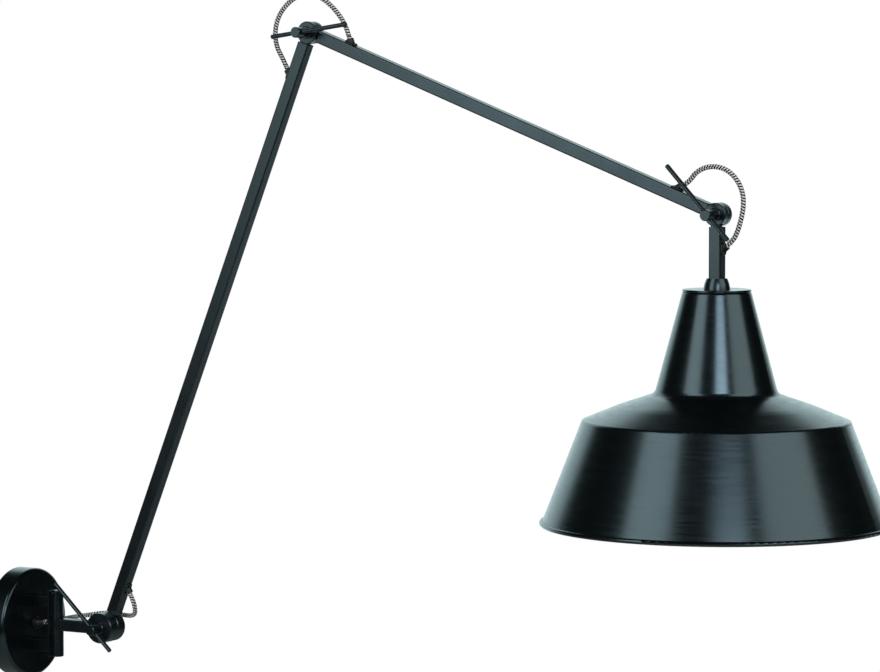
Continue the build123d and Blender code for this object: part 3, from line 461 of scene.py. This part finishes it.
lower_mouth = (shoulder, lower_angle, 0.052, arm_y, -1, -1)
lower_elbow_mouth = (shoulder, lower_angle, 0.6875, arm_y, 1, 1)
upper_elbow_mouth = (elbow, upper_angle, 0.0525, upper_arm_y, 1, -1)
upper_head_mouth = (elbow, upper_angle, 0.483, upper_arm_y, 1, 1)
stem_mouth = (head_joint, stem_angle, 0.0365, arm_y, 1, -1)

shoulder_loop += [mouth(*lower_mouth, extra=0.008), mouth(*lower_mouth)]
elbow_loop = [mouth(*lower_elbow_mouth), mouth(*lower_elbow_mouth, extra=0.012), *elbow_loop,
              mouth(*upper_elbow_mouth, extra=0.010), mouth(*upper_elbow_mouth)]
head_loop = [mouth(*upper_head_mouth), mouth(*upper_head_mouth, extra=0.007), *head_loop,
             mouth(*stem_mouth, extra=0.007), mouth(*stem_mouth)]
print("route points:", [len(r) for r in (swivel_run, shoulder_loop, elbow_loop, head_loop)])

# %% Make the four cables
sleeve_material = woven_sleeve()
cable_plan = [
    ("woven_cable_swivel", swivel_run, "cable_swivel_run", "wall_mount", "swivel_arm_body"),
    ("woven_cable_shoulder", shoulder_loop, "cable_shoulder_loop", "swivel_arm_body", "lower_arm"),
    ("woven_cable_elbow", elbow_loop, "cable_elbow_loop", "lower_arm", "upper_arm"),
    ("woven_cable_head", head_loop, "cable_head_loop", "upper_arm", "lamp_head"),
]
for name, route, node, first_body, second_body in cable_plan:
    line = smooth_line(name, route)
    cable, length = sleeve(name, line, cable_diameter)
    cable.data.materials.append(sleeve_material)
    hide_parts(node)
    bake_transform(cable)
    print(name, "mm long:", round(length * 1000, 1))

# %% [markdown]
# ## The cable inside the tubes
# Between two grommets the cable is held by the arm. It shows only where it enters a grommet, but
# the weave has to carry on there, so the held lengths get the same sleeve. A control point on
# each side of a corner keeps a spline straight up to the bend, as a short leg pins it down.

# %% Held lengths
arm_ease = 0.0051
cup_ease = 0.0033


def inner_corner(joint, angle, x, y, side, toward):
    """Where the slanted cable meets the tube's middle."""
    return along(joint, angle, x - toward * half_tube * sin(snout_lean) / cos(snout_lean), y, 0)


def eased(points, ease):
    """A route with a point added close before and after each of its corners."""
    points = [Vector(p) for p in points]
    route = [points[0]]
    for before, corner, after in zip(points, points[1:], points[2:]):
        route += [corner + (before - corner).normalized() * ease, corner,
                  corner + (after - corner).normalized() * ease]
    return [*route, points[-1]]


holder_top = Vector((head_joint.x, arm_y, 0.3810))
held_plan = [
    ("held_cable_wall_cup", [swivel_run[0], (0.027, 0, 0), (0.011, 0, 0)], cup_ease,
     "cable_in_wall_cup", "wall_mount"),
    ("held_cable_lower_arm", [mouth(*lower_mouth), inner_corner(*lower_mouth),
                              inner_corner(*lower_elbow_mouth), mouth(*lower_elbow_mouth)],
     arm_ease, "cable_in_lower_arm", "lower_arm"),
    ("held_cable_upper_arm", [mouth(*upper_elbow_mouth), inner_corner(*upper_elbow_mouth),
                              inner_corner(*upper_head_mouth), mouth(*upper_head_mouth)],
     arm_ease, "cable_in_upper_arm", "upper_arm"),
    ("held_cable_stem", [mouth(*stem_mouth), inner_corner(*stem_mouth), holder_top],
     arm_ease, "cable_in_stem", "lamp_head"),
]
for name, points, ease, node, body in held_plan:
    line = smooth_line(name, eased(points, ease))
    cable, length = sleeve(name, line, cable_diameter)
    cable.data.materials.append(sleeve_material)
    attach(cable, body)
    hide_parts(node)
    print(name, "mm long:", round(length * 1000, 1))

# %% [markdown]
# ## Three kinds of correction to the CAD pieces
# In the photograph the grommets and the wall gland end sooner, the elbow's bar is shorter, and
# the foot over the shade is a straighter cone. New pieces could be modelled from nothing. The CAD
# meshes are right but for one size each, so a copy is merged, then sawn off or reshaped instead.

# %% A merged copy of a CAD mesh
sharp_angle = radians(30)
merge_distance = 1e-6


def merged_copy(node):
    """The mesh of a CAD node with its loose triangles joined."""
    mesh = bmesh.new()
    mesh.from_mesh(nodes[node].data)
    bmesh.ops.remove_doubles(mesh, verts=mesh.verts, dist=merge_distance)
    return mesh


def changed_piece(name, node, body, mesh):
    """Makes the object of a changed copy, which takes its node's place."""
    for edge in mesh.edges:
        edge.smooth = len(edge.link_faces) != 2 or edge.calc_face_angle() < sharp_angle
    for face in mesh.faces:
        face.smooth = True
    print(name, "open edges:", sum(e.is_boundary for e in mesh.edges), "faces:", len(mesh.faces))
    data = bpy.data.meshes.new(name)
    mesh.to_mesh(data)
    mesh.free()
    piece = bpy.data.objects.new(name, data)
    bpy.context.scene.collection.objects.link(piece)
    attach(piece, body)
    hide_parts(node)
    return piece


# %% Saw the snouts off
snout_cut = 0.0035
gland_cut = 0.0045


def sawn_off(name, node, body, tip, lean, cut):
    """A snout shortened by a cut square to its lean, and closed round its bore."""
    mesh = merged_copy(node)
    bmesh.ops.bisect_plane(mesh, geom=[*mesh.verts, *mesh.edges, *mesh.faces],
                           dist=merge_distance, plane_co=tip - lean * cut, plane_no=lean,
                           clear_outer=True)
    bmesh.ops.bridge_loops(mesh, edges=[e for e in mesh.edges if e.is_boundary])
    bmesh.ops.recalc_face_normals(mesh, faces=mesh.faces)
    return changed_piece(name, node, body, mesh)


snouts = [
    ("short_lower_grommet", "lower_arm_grommet", "lower_arm", lower_mouth),
    ("short_lower_elbow_grommet", "lower_arm_elbow_grommet", "lower_arm", lower_elbow_mouth),
    ("short_upper_elbow_grommet", "upper_arm_elbow_grommet", "upper_arm", upper_elbow_mouth),
    ("short_upper_head_grommet", "upper_arm_head_grommet", "upper_arm", upper_head_mouth),
    ("short_stem_grommet", "stem_grommet", "lamp_head", stem_mouth),
]
nylon_pieces = []
for name, node, body, place in snouts:
    tip = mouth(*place)
    lean = (mouth(*place, extra=0.01) - tip).normalized()
    nylon_pieces.append(sawn_off(name, node, body, tip, lean, snout_cut))
gland_lean = Vector((1, 1, 0)).normalized()
nylon_pieces.append(sawn_off("short_wall_gland", "wall_gland", "wall_mount",
                             Vector(swivel_run[0]), gland_lean, gland_cut))

# %% Shorten the elbow's bar
elbow_bar_share = 98 / 106
elbow_bar_rise = radians(8)

mesh = merged_copy("elbow_tee_bar")
bar_middle = sum((v.co for v in mesh.verts), Vector()) / len(mesh.verts)
bar_direction = Vector((cos(elbow_bar_rise), 0, sin(elbow_bar_rise)))
bmesh.ops.transform(mesh, verts=mesh.verts,
                    matrix=Matrix.Translation(bar_middle)
                    @ Matrix.Scale(elbow_bar_share, 4, bar_direction)
                    @ Matrix.Translation(-bar_middle))
short_bar = changed_piece("short_elbow_bar", "elbow_tee_bar", "elbow_tee", mesh)

# %% Straighten the foot over the shade
foot_top, foot_bottom = 0.0110, 0.0142
foot_bulge = 0.0006
foot_bore = 0.008

mesh = merged_copy("stem_foot")
skin = [v for v in mesh.verts if (v.co.xy - holder_top.xy).length > foot_bore]
low, high = min(v.co.z for v in mesh.verts), max(v.co.z for v in skin)
for vert in skin:
    rise = (vert.co.z - low) / (high - low)
    wanted = foot_bottom + (foot_top - foot_bottom) * rise + foot_bulge * sin(pi * rise)
    offset = vert.co.xy - holder_top.xy
    spot = holder_top.xy + offset * (wanted / offset.length)
    bmesh.ops.translate(mesh, verts=[vert], vec=(spot.x - vert.co.x, spot.y - vert.co.y, 0))
straight_foot = changed_piece("straight_foot", "stem_foot", "lamp_head", mesh)

# %% [markdown]
# ## Dressing the CAD pieces
# The CAD meshes stay as they are and only change their material. A dictionary from finish to
# piece names keeps the choice in one place, and everything that isn't named gets powder coat.

# %% Give every piece its finish
shade_centre = (head_joint.x, arm_y, 0.0)
coat = powder_coat()
black_nylon = moulded("black_moulded_nylon", "#060809", "#0a0d0e", 0.42, 0.55, 0.5, 0.03)
finishes = {
    spun_lacquer("black_lacquer_on_spun_shade", shade_centre, 2): ["shade", "shade_cap"],
    spun_lacquer("black_lacquer_on_wall_cup", (0, 0, 0), 0): ["wall_cup"],
    plated_metal("zinc_plated_steel", "#9da1a5", "#c3c6c9", 0.32, 0.48, 3.0): [
        "mounting_strap", "backing_plate", "bracket_screws", "terminal_screws", "nipple",
        "nipple_nut"],
    plated_metal("drawn_brass", "#a9853f", "#c9a860", 0.22, 0.36, 5.0): [
        "socket_shell", "centre_contact"],
    black_nylon: ["gland_nut"],
    moulded("black_phenolic_plastic", "#0d0b0a", "#171311", 0.16, 0.24, 2.0, 0.006): [
        "lampholder_dome", "lampholder_body"],
    moulded("glazed_ceramic", "#d9d3c6", "#e6e1d6", 0.15, 0.24, 3.0, 0.01): [
        "lampholder_insert"],
    moulded("grey_terminal_plastic", "#c9c6bd", "#d6d3ca", 0.4, 0.5, 0.6, 0.02): [
        "terminal_block"],
    friction_fibre(): ["shoulder_friction_washer", "elbow_friction_washer",
                       "head_friction_washer", "swivel_washers"],
}
for piece in nylon_pieces:
    piece.data.materials.append(black_nylon)
for piece in (short_bar, straight_foot):
    piece.data.materials.append(coat)
finish_of = {name: material for material, names in finishes.items() for name in names}
for name, piece in nodes.items():
    material = finish_of.get(name, coat)
    if not piece.material_slots:
        piece.data.materials.append(material)
    for place in piece.material_slots:
        place.material = material
print("finishes used:", len(finishes) + 1)

# %% [markdown]
# ## Studio light
# Black gloss is lit by what it mirrors. The photograph shows three soft upright bands on the
# shade, so three soft boxes stand in front: a tall one far left, a small bright one near the lens
# and a broad one right. Each is aimed at the lamp and sized by the angle that its band covers.

# %% Soft boxes
lamp_middle = Vector((0.62, 0.0, 0.38))
towards_lens = Vector((sin(turn), -cos(turn), 0.0))
leftwards = Vector((-cos(turn), -sin(turn), 0.0))


def soft_box(name, side_angle, height_angle, distance, wide, tall, radiance, colour):
    """A rectangular lamp placed by its angles from the lens, as seen from the lamp."""
    flat = towards_lens * cos(radians(side_angle)) + leftwards * sin(radians(side_angle))
    direction = flat * cos(radians(height_angle)) + Vector((0, 0, 1)) * sin(radians(height_angle))
    data = bpy.data.lights.new(name, "AREA")
    data.shape = "RECTANGLE"
    data.size = wide
    data.size_y = tall
    data.energy = radiance * pi * wide * tall
    data.color = linear(colour)[:3]
    box = bpy.data.objects.new(name, data)
    box.location = lamp_middle + direction * distance
    box.rotation_euler = (-direction).to_track_quat("-Z", "Y").to_euler()
    bpy.context.scene.collection.objects.link(box)
    print(name, "at", [round(c, 2) for c in box.location], "watts:", round(data.energy, 1))


soft_box("soft_box_left", side_angle=49.5, height_angle=24, distance=3.2, wide=1.75, tall=3.2,
         radiance=2.7, colour="#fdfffd")
soft_box("soft_box_lens", side_angle=-10, height_angle=18, distance=3.4, wide=1.2, tall=1.15,
         radiance=7.4, colour="#f4f7ff")
soft_box("soft_box_right", side_angle=-55.5, height_angle=28, distance=3.2, wide=2.35, tall=2.3,
         radiance=2.0, colour="#fffffa")

# %% [markdown]
# ## A room for the reflections
# The background is white for the camera. Reflections see a simple room instead: a pale backdrop
# behind the lamp, a touch to the left, and a dim room elsewhere. White paper all round would turn
# the black gloss grey. The room is worked out from each ray's compass direction, by one dot
# product, and from its height, so it stays put when the camera moves round the lamp.

# %% World
backdrop_side = radians(5)
backdrop_lean = -0.25
room_strength, backdrop_strength = 0.02, 1.45

world = bpy.data.worlds.new("studio_room")
bpy.context.scene.world = world
world.use_nodes = True
room = world.node_tree
room.nodes.clear()
ray = add_node(room, "ShaderNodeTexCoord").outputs["Generated"]
backdrop_middle = -towards_lens * cos(backdrop_side) + leftwards * sin(backdrop_side)
level = add_node(room, "ShaderNodeVectorMath", {0: ray, 1: (1, 1, 0)},
                 operation="MULTIPLY").outputs[0]
level = add_node(room, "ShaderNodeVectorMath", {0: level}, operation="NORMALIZE").outputs[0]
facing = add_node(room, "ShaderNodeVectorMath", {0: level, 1: tuple(backdrop_middle)},
                  operation="DOT_PRODUCT").outputs["Value"]
height = add_node(room, "ShaderNodeSeparateXYZ", {0: ray}).outputs[2]
facing = add_node(room, "ShaderNodeMath", {0: height, 1: backdrop_lean, 2: facing},
                  operation="MULTIPLY_ADD").outputs[0]
behind = add_node(room, "ShaderNodeMapRange",
                  {"Value": facing, "From Min": 0.60, "From Max": 0.82,
                   "To Min": 0.0, "To Max": 1.0}, interpolation_type="SMOOTHSTEP").outputs[0]
below_top = add_node(room, "ShaderNodeMapRange",
                     {"Value": height, "From Min": 0.48, "From Max": 0.62,
                      "To Min": 1.0, "To Max": 0.0}, interpolation_type="SMOOTHSTEP").outputs[0]
lit = add_node(room, "ShaderNodeMath", {0: behind, 1: below_top}, operation="MULTIPLY").outputs[0]
strength = add_node(room, "ShaderNodeMapRange",
                    {"Value": lit, "From Min": 0.0, "From Max": 1.0,
                     "To Min": room_strength, "To Max": backdrop_strength}).outputs[0]
seen = add_node(room, "ShaderNodeLightPath").outputs["Is Camera Ray"]
background = add_node(room, "ShaderNodeMix", {0: seen, 2: strength, 3: 1.0},
                      data_type="FLOAT").outputs[0]
air = add_node(room, "ShaderNodeMix", {0: seen, 6: linear("#d8f1f3"), 7: linear("#ffffff")},
               data_type="RGBA").outputs[2]
sky = add_node(room, "ShaderNodeBackground", {"Color": air, "Strength": background})
add_node(room, "ShaderNodeOutputWorld", {"Surface": sky.outputs[0]})
print("nodes in the room:", len(room.nodes))

# %% [markdown]
# ## The floor
# A pale floor lies well below the lamp, lower than the shade can swing. It lightens the undersides
# and takes the shadow when the lamp is seen from above. A little of its own light for camera rays
# keeps it as pale as the background.

# %% Floor
floor_height = -0.95
floor_radius = 3.0
floor_glow = 0.78
speckle_mm = 4.0

floor_mesh = bmesh.new()
bmesh.ops.create_circle(floor_mesh, cap_ends=True, radius=floor_radius, segments=96,
                        matrix=Matrix.Translation((lamp_middle.x, 0.0, floor_height)))
floor_data = bpy.data.meshes.new("floor")
floor_mesh.to_mesh(floor_data)
floor_mesh.free()
floor = bpy.data.objects.new("floor", floor_data)
bpy.context.scene.collection.objects.link(floor)
paint, tree = new_material("pale_floor_paint")
sees_floor = add_node(tree, "ShaderNodeLightPath").outputs["Is Camera Ray"]
own_light = add_node(tree, "ShaderNodeMath", {0: sees_floor, 1: floor_glow},
                     operation="MULTIPLY").outputs[0]
place = add_node(tree, "ShaderNodeTexCoord").outputs["Object"]
speckle = add_node(tree, "ShaderNodeTexNoise",
                   {"Vector": place, "Scale": 1000 / speckle_mm, "Detail": 2.0}).outputs["Fac"]
colour = add_node(tree, "ShaderNodeMix",
                  {0: speckle, 6: linear("#c9c9c7"), 7: linear("#cfcfcd")},
                  data_type="RGBA").outputs[2]
shader = add_node(tree, "ShaderNodeBsdfPrincipled",
                  {"Base Color": colour, "Roughness": 0.7, "Emission Color": (1, 1, 1, 1),
                   "Emission Strength": own_light})
add_node(tree, "ShaderNodeOutputMaterial", {"Surface": shader.outputs[0]})
floor_data.materials.append(paint)
print("floor below the lamp by", -floor_height, "m")
